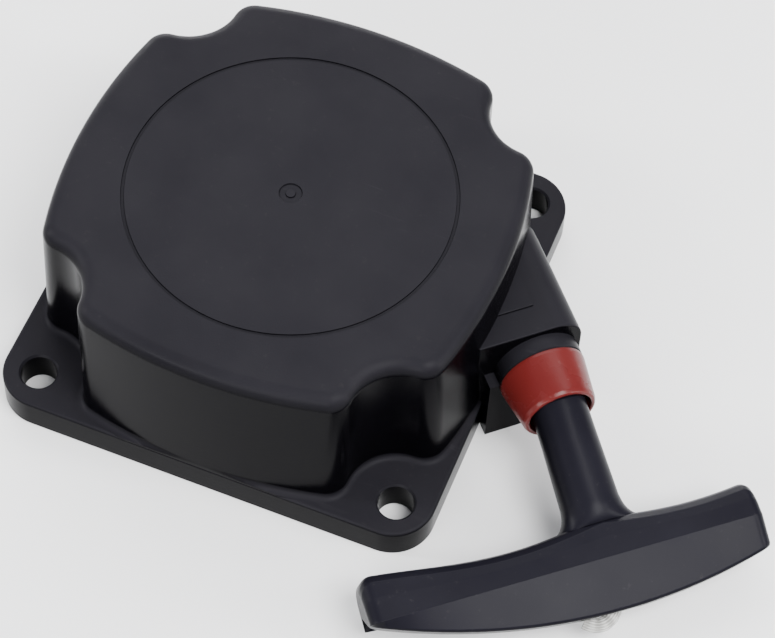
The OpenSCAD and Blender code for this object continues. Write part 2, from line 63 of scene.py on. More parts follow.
lamps = [
    ("lamp_above", (0.50, -0.22, 0.95), (0.50, 0.50), 17.5),
    ("lamp_behind", (-0.16, 0.62, 0.92), (1.30, 0.80), 11.5),
    ("lamp_left", (-0.80, -0.25, 0.40), (0.10, 0.70), 6.0),
    ("lamp_right", (0.85, 0.10, 0.34), (0.10, 0.70), 6.0),
    ("lamp_front", (-0.10, -0.88, 0.50), (0.80, 0.09), 9.0),
    ("lamp_low", (-0.46, 0.84, 0.16), (0.90, 0.08), 11.0),
]

table_mesh = bmesh.new()
bmesh.ops.create_grid(table_mesh, x_segments=2, y_segments=2, size=table_reach)
table = bpy.data.objects.new("table", bpy.data.meshes.new("table"))
table_mesh.to_mesh(table.data)
table_mesh.free()
bpy.context.scene.collection.objects.link(table)
table_paint = bpy.data.materials.new("table_paint")
table_paint.use_nodes = True
table_shader = table_paint.node_tree.nodes["Principled BSDF"]
table_shader.inputs["Base Color"].default_value = table_white
table_shader.inputs["Roughness"].default_value = 0.9
table_shader.inputs["Specular IOR Level"].default_value = 0.2
table.data.materials.append(table_paint)

for lamp_name, lamp_place, lamp_size, lamp_power in lamps:
    lamp_data = bpy.data.lights.new(lamp_name, "AREA")
    lamp_data.shape = "RECTANGLE"
    lamp_data.size, lamp_data.size_y = lamp_size
    lamp_data.energy = lamp_power
    lamp = bpy.data.objects.new(lamp_name, lamp_data)
    lamp.location = lamp_place
    lamp.visible_camera = False
    towards = lamp_aim - Vector(lamp_place)
    lamp.rotation_euler = towards.to_track_quat("-Z", "Y").to_euler()
    bpy.context.scene.collection.objects.link(lamp)

room = bpy.data.worlds.new("room")
room.use_nodes = True
room_light = room.node_tree.nodes["Background"]
room_light.inputs["Color"].default_value = room_white
room_light.inputs["Strength"].default_value = room_strength
bpy.context.scene.world = room

turn = Matrix.Rotation(math.radians(look_azimuth), 4, "Z")
tilt = Matrix.Rotation(math.radians(90 - look_height), 4, "X")
roll = Matrix.Rotation(math.radians(look_roll), 4, "Z")
camera_data = bpy.data.cameras.new("camera")
camera_data.lens = look_lens
camera_data.sensor_width = film_width
camera = bpy.data.objects.new("camera", camera_data)
camera.matrix_world = (
    Matrix.Translation(look_at) @ turn @ tilt @ Matrix.Translation((0, 0, look_distance)) @ roll
)
bpy.context.scene.collection.objects.link(camera)
bpy.context.scene.camera = camera


# ---- Housing ------------------------------------------------------------------
# One moulding of black glass-filled nylon: a square flange with four screw holes,
# a bulged cover with a hollow at each corner, and a block that carries the rope's
# collar. Sizes are in millimetres, drawn up from the face that bolts to the engine.
hole_at = 37.0
hole_r = 3.5
flange_half = 44.4
flange_t = 7.4
flange_corner_r = 8.5
flange_edge = 0.7
flange_foot_edge = 0.4
hole_foot_edge = 0.4
hole_top_edge = 0.45
cover_h = 39.4
cover_from = 2.0
cover_reach_top = 43.0
cover_reach_foot = 44.3
cover_stop = flange_half - 0.1
side_r = 95.0
scallop_r = 10.0
lobe_r = 4.5
top_edge_r = 3.0
foot_fillet_r = 1.4
wall = 2.6
cavity_top = 36.6
cavity_reach = 43.1
cavity_mouth = 0.6
cavity_edge_r = 1.2
top_line_r = 31.5
top_line_depth = 0.35
gate_depth = 0.3
post_r = 5.5
post_end_z = 5.0
post_edge = 0.4
post_root = 1.5
screw_bore_r = 2.4
screw_bore_len = 20.0
chamber_r = 30.2
chamber_wall = 2.2
chamber_end_z = 26.5
chamber_edge = 0.3
into_top = 0.5
boss_r = 2.9
boss_edge = 0.3
pilot_r = 1.4
pilot_len = 7.5
rib_half = 0.8
rib_reach = 39.9
rib_rise = 2.0
rib_edge = 0.3
lid_screw_at = 34.7
lid_screw_angles = (90, 210, 330)
rope_z = 17.4
outlet_angle = -48.0
outlet_offset = 36.3
outlet_reach = 40.4
collar_r = 8.5
block_from = 13.0
block_near = 3.5
block_far = 0.7
block_above = 1.3
block_corner_r = 6.0
block_edge = 0.35
step_s = 31.4
step_far = 1.2
step_above = 1.75
step_edge = 0.25
neck_edge = 0.3
ledge_s = 37.2
web_near = 2.0
rope_way_r = 3.2
spigot_bore_r = 5.6
spigot_bore_len = 10.0
# The second black below is painted shade: a darker copy of the top's black for the upright sides, so
# top and sides are lit and shaded copies of one nylon.
housing_black = (0.0104, 0.0099, 0.0124, 1)
housing_side_shade_black = (0.0013, 0.0012, 0.0017, 1)

# the outlet's frame has the rope's way out along X; the other two lay a turned solid
# along X, and an outline across it
outlet_frame = (
    Matrix.Rotation(math.radians(outlet_angle), 4, "Z")
    @ Matrix.Translation((0, outlet_offset, rope_z))
)
lay_along_x = Matrix.Rotation(math.radians(90), 4, "Y")
across_x = Matrix(((0, 0, 1, 0), (1, 0, 0, 0), (0, 1, 0, 0), (0, 0, 0, 1)))


def arc(centre, radius, start, stop, count):
    """Points along an arc, angles in degrees."""
    angles = [math.radians(start + (stop - start) * i / count) for i in range(count + 1)]
    return [Vector((centre[0] + radius * math.cos(a), centre[1] + radius * math.sin(a)))
            for a in angles]


def rounded(points, radii, steps=5):
    """The closed outline with each corner made round to its own radius."""
    made = []
    for i, point in enumerate(points):
        radius = radii[i] if hasattr(radii, "__len__") else radii
        corner = Vector(point)
        before = Vector(points[i - 1]) - corner
        after = Vector(points[(i + 1) % len(points)]) - corner
        half = before.angle(after) / 2
        if radius <= 0 or half > math.radians(89):
            made += [corner] * (steps + 1 if radius > 0 else 1)
            continue
        cut = min(radius / math.tan(half), 0.49 * before.length, 0.49 * after.length)
        radius = cut * math.tan(half)
        before.normalize()
        after.normalize()
        centre = corner + (before + after).normalized() * (radius / math.sin(half))
        first = corner + before * cut - centre
        last = corner + after * cut - centre
        a0 = math.atan2(first.y, first.x)
        swing = (math.atan2(last.y, last.x) - a0 + math.pi) % (2 * math.pi) - math.pi
        made += arc(centre, radius, math.degrees(a0), math.degrees(a0 + swing), steps)
    return made


def finished(bm, name, place=Matrix()):
    """The bmesh, drawn in millimetres, as an object in metres with its place in its mesh."""
    bmesh.ops.remove_doubles(bm, verts=bm.verts, dist=0.0004)
    bmesh.ops.recalc_face_normals(bm, faces=bm.faces)
    bmesh.ops.transform(bm, matrix=Matrix.Scale(0.001, 4) @ place, verts=bm.verts)
    piece = bpy.data.objects.new(name, bpy.data.meshes.new(name))
    bm.to_mesh(piece.data)
    bm.free()
    bpy.context.scene.collection.objects.link(piece)
    return piece


def lofted(name, rings, place=Matrix(), uv_lengths=None):
    """A closed solid through rings of points. Every ring has the same number of points."""
    bm = bmesh.new()
    around = bm.verts.layers.int.new("around")
    along = bm.verts.layers.int.new("along")
    count = len(rings[0])
    first = [bm.verts.new(p) for p in rings[0]]
    for i, vert in enumerate(first):
        vert[around] = i
    edges = [bm.edges.new((first[i - 1], first[i])) for i in range(count)]
    bmesh.ops.edgeloop_fill(bm, edges=edges)
    for level, ring in enumerate(rings[1:], 1):
        grown = bmesh.ops.extrude_edge_only(bm, edges=edges)["geom"]
        edges = [e for e in grown if isinstance(e, bmesh.types.BMEdge) and e.is_boundary]
        for vert in {v for e in edges for v in e.verts}:
            vert.co = ring[vert[around]]
            vert[along] = level
    bmesh.ops.edgeloop_fill(bm, edges=edges)
    if uv_lengths:
        uv = bm.loops.layers.uv.new("rope")
        for face in bm.faces:
            places = [loop.vert[around] for loop in face.loops]
            seam = max(places) - min(places) > count / 2
            for loop in face.loops:
                step = loop.vert[around]
                step += count if seam and step < count / 2 else 0
                loop[uv].uv = (step / count, uv_lengths[loop.vert[along]])
    return finished(bm, name, place)


def turned(name, profile, place=Matrix(), steps=96):
    """A solid turned round Z from (radius, height) points, which may start and end on the axis."""
    bm = bmesh.new()
    verts = [bm.verts.new((p[0], 0, p[1])) for p in profile]
    pairs = list(zip(verts, verts[1:]))
    if profile[0][0] > 0:
        pairs.append((verts[-1], verts[0]))
    edges = [bm.edges.new(pair) for pair in pairs]
    bmesh.ops.spin(bm, geom=verts + edges, cent=(0, 0, 0), axis=(0, 0, 1), angle=2 * math.pi,
                   steps=steps, use_merge=True)
    return finished(bm, name, place)


def extruded(name, outline, low, high, place=Matrix(), edge=0.0, foot_edge=None):
    """A solid of one outline from low to high, its rims bevelled by edge and foot_edge."""
    bm = bmesh.new()
    face = bm.faces.new([bm.verts.new((p[0], p[1], low)) for p in outline])
    grown = bmesh.ops.extrude_face_region(bm, geom=[face])["geom"]
    lifted = [v for v in grown if isinstance(v, bmesh.types.BMVert)]
    bmesh.ops.translate(bm, vec=(0, 0, high - low), verts=lifted)
    foot_edge = edge if foot_edge is None else foot_edge
    for height, size in ((high, edge), (low, foot_edge)):
        rim = [e for e in bm.edges if all(abs(v.co.z - height) < 1e-6 for v in e.verts)]
        if size:
            bmesh.ops.bevel(bm, geom=rim, offset=size, offset_type="OFFSET", segments=3,
                            profile=0.5, affect="EDGES", material=-1, clamp_overlap=True)
    return finished(bm, name, place)


def worked(body, how, tools):
    """Builds the tools on the body (UNION) or cuts them from it (DIFFERENCE)."""
    for tool in tools:
        step = body.modifiers.new("step", "BOOLEAN")
        step.operation = how
        step.solver = "MANIFOLD"
        step.object = tool
    bpy.context.view_layer.update()
    seen = body.evaluated_get(bpy.context.evaluated_depsgraph_get())
    body.data = bpy.data.meshes.new_from_object(seen)
    body.modifiers.clear()
    for tool in tools:
        bpy.data.objects.remove(tool)


def effect(name, inputs, outputs):
    """An empty shader group with named sockets: the group, its input node and its output node."""
    group = bpy.data.node_groups.new(name, "ShaderNodeTree")
    sockets = group.interface
    for label, kind, value in inputs:
        socket = sockets.new_socket(name=label, in_out="INPUT", socket_type="NodeSocket" + kind)
        socket.default_value = value
    for label, kind in outputs:
        sockets.new_socket(name=label, in_out="OUTPUT", socket_type="NodeSocket" + kind)
    return group, group.nodes.new("NodeGroupInput"), group.nodes.new("NodeGroupOutput")


def noise_node(tree, scale, detail, roughness=0.55, vector=None):
    """A noise texture on the piece's own Object coordinates, or on the vector given."""
    node = tree.nodes.new("ShaderNodeTexNoise")
    node.inputs["Scale"].default_value = scale
    node.inputs["Detail"].default_value = detail
    node.inputs["Roughness"].default_value = roughness
    if vector is None:
        vector = tree.nodes.new("ShaderNodeTexCoord").outputs["Object"]
    tree.links.new(vector, node.inputs["Vector"])
    return node


def maths(tree, kind, a, b=None):
    """One Math node; a and b are sockets or numbers."""
    node = tree.nodes.new("ShaderNodeMath")
    node.operation = kind
    for socket, value in zip(node.inputs, (a, b)):
        if isinstance(value, (int, float)):
            socket.default_value = value
        elif value is not None:
            tree.links.new(value, socket)
    return node.outputs[0]


def ranged(tree, value, low, high, to_low, to_high):
    """One Map Range node; to_low and to_high are sockets or numbers."""
    node = tree.nodes.new("ShaderNodeMapRange")
    tree.links.new(value, node.inputs["Value"])
    limits = {"From Min": low, "From Max": high, "To Min": to_low, "To Max": to_high}
    for label, number in limits.items():
        if isinstance(number, (int, float)):
            node.inputs[label].default_value = number
        else:
            tree.links.new(number, node.inputs[label])
    return node.outputs["Result"]


def mixed(tree, factor, a, b):
    """One colour Mix node; a and b are sockets or colours."""
    node = tree.nodes.new("ShaderNodeMix")
    node.data_type = "RGBA"
    tree.links.new(factor, node.inputs[0])
    for socket, value in ((node.inputs[6], a), (node.inputs[7], b)):
        if hasattr(value, "is_linked"):
            tree.links.new(value, socket)
        else:
            socket.default_value = value
    return node.outputs[2]


def bumped(tree, height, depth, strength):
    """One Bump node of that depth in metres; strength is a socket or a number."""
    node = tree.nodes.new("ShaderNodeBump")
    node.inputs["Distance"].default_value = depth
    tree.links.new(height, node.inputs["Height"])
    if isinstance(strength, (int, float)):
        node.inputs["Strength"].default_value = strength
    else:
        tree.links.new(strength, node.inputs["Strength"])
    return node.outputs["Normal"]


# The skin of a moulding: fine texture from the tool, cloudy gloss, rub marks and dust.
dust_grey = (0.35, 0.33, 0.30, 1)
skin_depth = 0.00004
moulded, skin_in, skin_out = effect(
    "moulded_skin",
    [("Colour", "Color", (0.02, 0.02, 0.02, 1)), ("Rubbed colour", "Color", (0.05, 0.05, 0.05, 1)),
     ("Smoothest", "Float", 0.3), ("Roughest", "Float", 0.5), ("Texture", "Float", 0.3),
     ("Rubbing", "Float", 0.4), ("Dust", "Float", 0.2)],
    [("Colour", "Color"), ("Roughness", "Float"), ("Normal", "Vector")])
grain = noise_node(moulded, 2600, 3).outputs["Fac"]
clouds = noise_node(moulded, 55, 4).outputs["Fac"]
blotches = noise_node(moulded, 17, 3, 0.6).outputs["Fac"]
streak_map = moulded.nodes.new("ShaderNodeMapping")
streak_map.inputs["Rotation"].default_value = (0.3, 0.5, 0.7)
streak_map.inputs["Scale"].default_value = (1, 14, 6)
skin_place = moulded.nodes.new("ShaderNodeTexCoord")
moulded.links.new(skin_place.outputs["Object"], streak_map.inputs["Vector"])
streaks = noise_node(moulded, 60, 5, 0.7, streak_map.outputs["Vector"]).outputs["Fac"]
rub_mark = ranged(moulded, streaks, 0.62, 0.74, 0.0, 1.0)
rub_place = ranged(moulded, blotches, 0.45, 0.62, 0.0, 1.0)
rub = maths(moulded, "MULTIPLY",
            maths(moulded, "MULTIPLY", rub_mark, rub_place), skin_in.outputs["Rubbing"])
speck = ranged(moulded, noise_node(moulded, 900, 2).outputs["Fac"], 0.66, 0.74, 0.0, 1.0)
dust = maths(moulded, "MULTIPLY", maths(moulded, "MULTIPLY", speck, clouds), skin_in.outputs["Dust"])
shade = mixed(moulded, ranged(moulded, clouds, 0.3, 0.7, 0.0, 0.35),
              skin_in.outputs["Colour"], skin_in.outputs["Rubbed colour"])
shade = mixed(moulded, rub, shade, skin_in.outputs["Rubbed colour"])
shade = mixed(moulded, dust, shade, dust_grey)
moulded.links.new(shade, skin_out.inputs["Colour"])
gloss = ranged(moulded, clouds, 0.3, 0.7,
               skin_in.outputs["Smoothest"], skin_in.outputs["Roughest"])
gloss = maths(moulded, "ADD", gloss, maths(moulded, "MULTIPLY", rub, 0.12))
gloss = maths(moulded, "ADD", gloss, maths(moulded, "MULTIPLY", dust, 0.4))
moulded.links.new(gloss, skin_out.inputs["Roughness"])
relief = maths(moulded, "ADD", grain, maths(moulded, "MULTIPLY", streaks, 0.4))
moulded.links.new(bumped(moulded, relief, skin_depth, skin_in.outputs["Texture"]),
                  skin_out.inputs["Normal"])


def coated(name, group, settings, plain):
    """A material of one effect group, with the values that don't vary set on its shader."""
    material = bpy.data.materials.new(name)
    material.use_nodes = True
    tree = material.node_tree
    shader = tree.nodes["Principled BSDF"]
    node = tree.nodes.new("ShaderNodeGroup")
    node.node_tree = group
    for label, value in settings.items():
        node.inputs[label].default_value = value
    tree.links.new(node.outputs["Colour"], shader.inputs["Base Color"])
    tree.links.new(node.outputs["Roughness"], shader.inputs["Roughness"])
    tree.links.new(node.outputs["Normal"], shader.inputs["Normal"])
    for label, value in plain.items():
        shader.inputs[label].default_value = value
    return material


def fitted(piece, material, body, nodes, sharp=32):
    """Gives the piece its finish and shading, and puts it on its body in its nodes' place."""
    piece.data.materials.clear()
    piece.data.materials.append(material)
    piece.data.shade_smooth()
    piece.data.set_sharp_from_angle(angle=math.radians(sharp))
    even = piece.modifiers.new("even_shading", "WEIGHTED_NORMAL")
    even.keep_sharp = True
    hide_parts(*nodes)
    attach(piece, body)


def cover_outline(reach, inset):
    """The cover's outline: four bulged sides, with lobes and hollows round the screws."""
    centre = Vector((reach - side_r, 0))
    to_hole = Vector((hole_at, hole_at)) - centre
    lobe_side = side_r - lobe_r
    lobe_hollow = scallop_r + lobe_r
    run = (lobe_side ** 2 - lobe_hollow ** 2 + to_hole.length_squared) / (2 * to_hole.length)
    rise = math.sqrt(lobe_side ** 2 - run ** 2)
    ahead = to_hole.normalized()
    lobe = centre + run * ahead + rise * Vector((ahead.y, -ahead.x))
    side_end = math.degrees(math.atan2(lobe.y, lobe.x - centre.x))
    hollow_end = math.degrees(math.atan2(hole_at - lobe.y, hole_at - lobe.x))
    quarter = arc(centre, side_r - inset, -side_end, side_end, 22)[:-1]
    quarter += arc(lobe, lobe_r - inset, side_end, hollow_end, 9)[:-1]
    quarter += arc((hole_at, hole_at), scallop_r + inset, 180 + hollow_end, 270 - hollow_end, 18)[:-1]
    quarter += arc((lobe.y, lobe.x), lobe_r - inset, 90 - hollow_end, 90 - side_end, 9)[:-1]
    outline = []
    for k in range(4):
        outline += [Matrix.Rotation(math.radians(90 * k), 2) @ p for p in quarter]
    return outline


def cover_ring(z, inset):
    """One level of the cover: its sides lean out to the foot and stay inside the flange."""
    share = (cover_h - z) / (cover_h - flange_t)
    reach = cover_reach_top + (cover_reach_foot - cover_reach_top) * share
    return [(max(-cover_stop, min(cover_stop, p.x)), max(-cover_stop, min(cover_stop, p.y)), z)
            for p in cover_outline(reach, inset)]


cover_levels = [(cover_from, -foot_fillet_r), (flange_t, -foot_fillet_r)]
for k in range(1, 5):
    a = math.radians(90 * k / 4)
    cover_levels.append((flange_t + foot_fillet_r * (1 - math.cos(a)),
                         foot_fillet_r * (math.sin(a) - 1)))
for k in range(9):
    a = math.radians(90 * k / 8)
    cover_levels.append((cover_h - top_edge_r + top_edge_r * math.sin(a),
                         top_edge_r * (1 - math.cos(a))))
housing = lofted("starter_housing", [cover_ring(z, inset) for z, inset in cover_levels])

flange_outline = rounded([(-flange_half, -flange_half), (flange_half, -flange_half),
                          (flange_half, flange_half), (-flange_half, flange_half)],
                         flange_corner_r, 14)
flange = extruded("flange", flange_outline, 0, flange_t,
                  edge=flange_edge, foot_edge=flange_foot_edge)

to_outlet = outlet_frame @ across_x
block_section = rounded(
    [(-collar_r - block_near, -rope_z), (collar_r + block_far, -rope_z),
     (collar_r + block_far, collar_r + block_above),
     (-collar_r - block_near, collar_r + block_above)], (0, 0, block_corner_r, 0), 12)
block = extruded("block", block_section, block_from, ledge_s, to_outlet, edge=block_edge)
step_section = [(-collar_r - block_near, 0), (step_far, 0), (step_far, collar_r + step_above),
                (-collar_r - block_near, collar_r + step_above)]
raised = extruded("raised", step_section, block_from, step_s, to_outlet, edge=step_edge)
web_section = [(-collar_r - web_near, -rope_z), (collar_r, -rope_z), (collar_r, 0),
               (-collar_r - web_near, 0)]
web = extruded("web", web_section, block_from, outlet_reach, to_outlet, edge=block_edge)
neck = turned("neck", [(0, block_from), (collar_r, block_from),
                       (collar_r, outlet_reach - neck_edge), (collar_r - neck_edge, outlet_reach),
                       (0, outlet_reach)], outlet_frame @ lay_along_x)
worked(housing, "UNION", [flange, block, raised, web, neck])

cavity_levels = [(-1.0, wall - cavity_mouth), (0.0, wall - cavity_mouth), (cavity_mouth, wall),
                 (cavity_top - cavity_edge_r, wall)]
for k in range(1, 5):
    a = math.radians(90 * k / 4)
    cavity_levels.append((cavity_top - cavity_edge_r + cavity_edge_r * math.sin(a),
                          wall + cavity_edge_r * (1 - math.cos(a))))
cavity_rings = [[(p.x, p.y, z) for p in cover_outline(cavity_reach, inset)]
                for z, inset in cavity_levels]
worked(housing, "DIFFERENCE", [lofted("cavity", cavity_rings)])

root_z = cavity_top + into_top
post = turned("post", [(0, post_end_z), (post_r - post_edge, post_end_z),
                       (post_r, post_end_z + post_edge), (post_r, cavity_top - post_root),
                       (post_r + post_root, root_z), (0, root_z)])
chamber_out_r = chamber_r + chamber_wall
chamber = turned("chamber", [
    (chamber_r, chamber_end_z + chamber_edge), (chamber_r + chamber_edge, chamber_end_z),
    (chamber_out_r - chamber_edge, chamber_end_z), (chamber_out_r, chamber_end_z + chamber_edge),
    (chamber_out_r, root_z), (chamber_r, root_z)], steps=144)
worked(housing, "UNION", [post, chamber])
inner_features = []
for angle in lid_screw_angles:
    at = Matrix.Rotation(math.radians(angle), 4, "Z") @ Matrix.Translation((lid_screw_at, 0, 0))
    inner_features.append(turned("boss", [
        (0, chamber_end_z), (boss_r - boss_edge, chamber_end_z),
        (boss_r, chamber_end_z + boss_edge), (boss_r, root_z), (0, root_z)], at, 48))
rib_outline = [(chamber_r + 1, -rib_half), (rib_reach, -rib_half), (rib_reach, rib_half),
               (chamber_r + 1, rib_half)]
for angle in range(0, 360, 45):
    inner_features.append(extruded("rib", rib_outline, chamber_end_z + rib_rise, root_z,
                                   Matrix.Rotation(math.radians(angle), 4, "Z"),
                                   edge=0, foot_edge=rib_edge))
worked(housing, "UNION", inner_features)

cutters = []
for x in (-hole_at, hole_at):
    for y in (-hole_at, hole_at):
        cutters.append(turned("hole", [
            (0, -1), (hole_r + 1.5, -1), (hole_r + hole_foot_edge, 0.05), (hole_r, 0.45),
            (hole_r, flange_t - 0.4), (hole_r + hole_top_edge, flange_t + 0.05),
            (hole_r + hole_top_edge, flange_t + 1), (0, flange_t + 1)],
            Matrix.Translation((x, y, 0)), 64))
cutters.append(turned("screw_bore", [
    (0, post_end_z - 1), (screw_bore_r, post_end_z - 1),
    (screw_bore_r, post_end_z + screw_bore_len - 1), (0, post_end_z + screw_bore_len)], steps=48))
for angle in lid_screw_angles:
    at = Matrix.Rotation(math.radians(angle), 4, "Z") @ Matrix.Translation((lid_screw_at, 0, 0))
    cutters.append(turned("pilot", [
        (0, chamber_end_z - 1), (pilot_r, chamber_end_z - 1),
        (pilot_r, chamber_end_z + pilot_len), (0, chamber_end_z + pilot_len)], at, 32))
cutters.append(turned("top_line", rounded(
    [(top_line_r - 0.3, cover_h - top_line_depth), (top_line_r + 0.3, cover_h - top_line_depth),
     (top_line_r + 0.42, cover_h + 0.5), (top_line_r - 0.42, cover_h + 0.5)], 0.1, 3), steps=180))
cutters.append(turned("gate", [(1.0, cover_h - gate_depth), (2.1, cover_h - gate_depth),
                               (2.4, cover_h + 0.3), (0.8, cover_h + 0.3)], steps=48))
spigot_bore_s = outlet_reach - spigot_bore_len
cutters.append(turned("rope_way", [
    (0, block_from + 1.5), (rope_way_r, block_from + 1.5), (rope_way_r, spigot_bore_s),
    (spigot_bore_r, spigot_bore_s), (spigot_bore_r, outlet_reach - 0.3),
    (5.9, outlet_reach + 0.01), (5.9, outlet_reach + 1), (0, outlet_reach + 1)],
    outlet_frame @ lay_along_x, 64))
worked(housing, "DIFFERENCE", cutters)

housing_nylon = coated(
    "housing_nylon", moulded,
    {"Colour": housing_black, "Rubbed colour": (0.0190, 0.0182, 0.0215, 1),
     "Smoothest": 0.31, "Roughest": 0.47, "Texture": 0.5, "Rubbing": 0.9, "Dust": 0.015},
    {"IOR": 1.52, "Specular IOR Level": 0.024})


def paint_side_shade_and_gloss(material, side_shade_colour, side_gloss=0.5):
    """Gives the upright sides painted shade, a darker colour than the top's, and their own gloss, as
    they slide off a polished tool.
    """
    tree = material.node_tree
    shader = tree.nodes["Principled BSDF"]
    surface = tree.nodes.new("ShaderNodeNewGeometry")
    facing = tree.nodes.new("ShaderNodeSeparateXYZ")
    tree.links.new(surface.outputs["Normal"], facing.inputs["Vector"])
    # painted shade: faces that stand upright take the darker side colour, faces that look up keep the
    # top's lighter colour, blended between
    up = ranged(tree, facing.outputs["Z"], 0.1, 0.8, 0.0, 1.0)
    top_colour = shader.inputs["Base Color"].links[0].from_socket
    tree.links.new(mixed(tree, up, side_shade_colour, top_colour), shader.inputs["Base Color"])
    skin = shader.inputs["Roughness"].links[0].from_socket
    smoother = ranged(tree, up, 0.0, 1.0, side_gloss, 1.0)
    tree.links.new(maths(tree, "MULTIPLY", skin, smoother), shader.inputs["Roughness"])


paint_side_shade_and_gloss(housing_nylon, housing_side_shade_black)
fitted(housing, housing_nylon, "casing", ["housing"])


# ---- Rope collar --------------------------------------------------------------
# A red bush of glossy nylon pressed into the outlet's neck. It tapers to a rounded lip
# round a socket for the handle's stem, and its throat is flared towards the reel so
# that it doesn't chafe the rope.
collar_len = 9.6
mouth_s = outlet_reach + collar_len
spigot_r = 5.55
spigot_len = 9.9
lip_r = 7.0
socket_r = 6.25
socket_floor_r = 6.0
socket_len = 4.6
throat_r = 2.6
throat_flare = 1.6
collar_red = (0.082, 0.0078, 0.0074, 1)

collar_profile = rounded(
    [(spigot_r, outlet_reach - spigot_len), (spigot_r, outlet_reach + 0.05),
     (collar_r, outlet_reach + 0.05), (collar_r, outlet_reach + 0.8),
     (lip_r + 0.35, mouth_s - 0.9), (lip_r, mouth_s - 0.05), (socket_r, mouth_s - 0.05),
     (socket_floor_r, mouth_s - socket_len), (throat_r, mouth_s - socket_len),
     (throat_r, outlet_reach - 8), (throat_r + throat_flare, outlet_reach - spigot_len)],
    (0.3, 0.1, 0.25, 0.4, 0.8, 0.45, 0.35, 0.2, 0.4, 0.6, 0.3), 6)
collar = turned("rope_collar_moulding", collar_profile, outlet_frame @ lay_along_x, 128)
collar_nylon = coated(
    "collar_nylon", moulded,
    {"Colour": collar_red, "Rubbed colour": (0.13, 0.019, 0.017, 1),
     "Smoothest": 0.22, "Roughest": 0.36, "Texture": 0.5, "Rubbing": 0.5, "Dust": 0.08},
    {"IOR": 1.53, "Specular IOR Level": 0.16})
fitted(collar, collar_nylon, "casing", ["rope_collar"])


# ---- Handle -------------------------------------------------------------------
# A T handle moulded in one piece. The two halves of its mould met across the
# widest line of the grip, so the grip narrows from that line to both edges.
handle_angle = -50.0
handle_droop = 18.0
grip_long = 47.0
grip_short = 30.0
grip_half_h = 6.0
grip_front_half_h = 4.9
grip_front = 38.9
grip_back = 21.0
parting_x = 28.9
back_wave = 1.7
front_bow = 228.0
front_lean = 2.6
end_round = 2.9
end_slope = 2.2
stem_in = 2.4
stem_tip_r = 5.3
stem_root_r = 5.8
stem_bore_r = 2.1
root_from = 17.6
root_len = 4.6
root_spread = 3.4
root_thinning = 1.2
pocket_r = 3.5
pocket_len = 5.5
seat_len = 8.5
# The second black below is painted shade: a darker copy of the grip's black for its upright sides, so
# top and sides are lit and shaded copies of one nylon.
handle_black = (0.0060, 0.0056, 0.0088, 1)
handle_side_shade_black = (0.0016, 0.0015, 0.0024, 1)

out_x = math.cos(math.radians(outlet_angle))
out_y = math.sin(math.radians(outlet_angle))
mouth = Vector((mouth_s * out_x - outlet_offset * out_y,
                mouth_s * out_y + outlet_offset * out_x, rope_z))
handle_frame = (
    Matrix.Translation(mouth)
    @ Matrix.Rotation(math.radians(handle_angle), 4, "Z")
    @ Matrix.Rotation(math.radians(handle_droop), 4, "Y")
)


def grip_section(u):
    """The grip cut across at u from the stem, as (distance along the stem, height) points."""
    from_end = max(min(u + grip_long, grip_short - u), 0.0)
    back = grip_back + back_wave * math.sin(math.radians(5 * abs(u)))
    front = grip_front - u * u / front_bow
    if from_end < end_round:
        back += end_round - math.sqrt(end_round ** 2 - (end_round - from_end) ** 2)
    pinch = 0.0
    if from_end < end_slope:
        pinch = end_slope - math.sqrt(end_slope ** 2 - (end_slope - from_end) ** 2)
    h = grip_half_h - pinch
    front_h = grip_front_half_h - pinch
    front -= 0.25 * pinch
    width = parting_x - back
    upper = [(front - front_lean, -front_h), (front, 2.0), (front, front_h), (parting_x, h),
             (parting_x - 0.25, h - 0.07), (parting_x - 0.5 * width, h - 0.5),
             (back + 1.5, h - 1.0), (back + 0.4, h - 2.0), (back, h - 3.1)]
    lower = [(x, -z) for x, z in reversed(upper[3:])]
    return rounded(upper + lower, (0.7, 2.0, 0.7, 0.12, 0.15, 2.5, 0.8, 1.0, 1.4,
                                   1.4, 1.0, 0.8, 2.5, 0.15, 0.12), 6)


grip_places = []
for side, reach in ((-1, grip_long), (1, grip_short)):
    near_end = [reach - end_round * (1 - math.cos(math.radians(9 * k))) for k in range(11)]
    inner = [reach - end_round - k * (reach - end_round) / 14 for k in range(1, 14)]
    grip_places += [side * d for d in near_end + inner]
grip_places = sorted(grip_places + [0.0])
grip_rings = [[(x, u, z) for x, z in grip_section(u)] for u in grip_places]
handle = lofted("pull_handle_moulding", grip_rings, handle_frame)

stem_steps = [(-stem_in, stem_tip_r - 0.7), (-stem_in + 0.15, stem_tip_r - 0.3),
              (-stem_in + 0.6, stem_tip_r), (0.0, stem_tip_r + 0.05)]
stem_steps += [(x, stem_tip_r + (stem_root_r - stem_tip_r) * x / grip_back)
               for x in (5, 10, 15, root_from)]
stem_ovals = [(x, r, r) for x, r in stem_steps]
for k in range(1, 10):
    spread = 1 - math.cos(math.radians(90 * k / 9))
    x = root_from + root_len * math.sin(math.radians(90 * k / 9))
    stem_ovals.append((x, stem_root_r + root_spread * spread, stem_root_r - root_thinning * spread))
around_stem = [2 * math.pi * k / 96 for k in range(96)]
stem_rings = [[(x, wide * math.cos(a), high * math.sin(a)) for a in around_stem]
              for x, wide, high in stem_ovals]
stem = lofted("stem", stem_rings, handle_frame)
worked(handle, "UNION", [stem])

